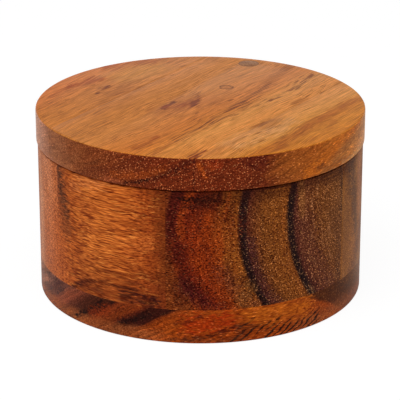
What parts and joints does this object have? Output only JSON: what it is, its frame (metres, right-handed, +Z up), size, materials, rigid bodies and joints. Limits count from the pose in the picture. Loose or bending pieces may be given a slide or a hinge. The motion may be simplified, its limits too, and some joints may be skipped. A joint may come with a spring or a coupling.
{
  "type": "salt box with swivel lid",
  "caption": "Round wooden salt box turned from glued strips, with a flat disc lid that swings sideways on an upright pivot at the rim and a magnet that holds it shut.",
  "frame": {"origin": "on the box's axis, at the level that its underside stands on", "axes": "+Z up along the box's axis, -Y the front, +X to the right seen from the front; the lid's pivot is at the back, right of the middle"},
  "size_m": [0.12, 0.12, 0.069],
  "materials": {
    "lid_wood": "satin, oiled",
    "plug_wood": "satin, oiled end grain",
    "wall_wood_orange": "satin, oiled",
    "wall_wood_dark": "satin, oiled",
    "wall_wood_brown": "satin, oiled",
    "base_wood": "satin, oiled",
    "steel": "zinc plated",
    "brass": "machined",
    "nylon": "matte",
    "magnet_plating": "nickel plated"
  },
  "bodies": {
    "box": {"wall_board_front": "wall_wood_orange", "wall_board_middle": "wall_wood_dark", "wall_board_right": "wall_wood_brown", "base_board_front": "base_wood", "base_board_back": "base_wood", "threaded_insert": "brass", "pivot_screw": "steel", "head_washer": "steel", "pivot_sleeve": "brass", "spacer_washer": "nylon", "box_magnet": "magnet_plating"},
    "lid": {"lid_board_left": "lid_wood", "lid_board_middle": "lid_wood", "lid_board_right": "lid_wood", "lid_plug": "plug_wood", "lid_magnet": "magnet_plating"}
  },
  "joints": [
    {"name": "lid_swivel", "type": "hinge", "parent": "box", "child": "lid", "pos_m": [0.01865, 0.05015, 0.057], "axis": [0, 0, 1], "continuous": true}
  ]
}
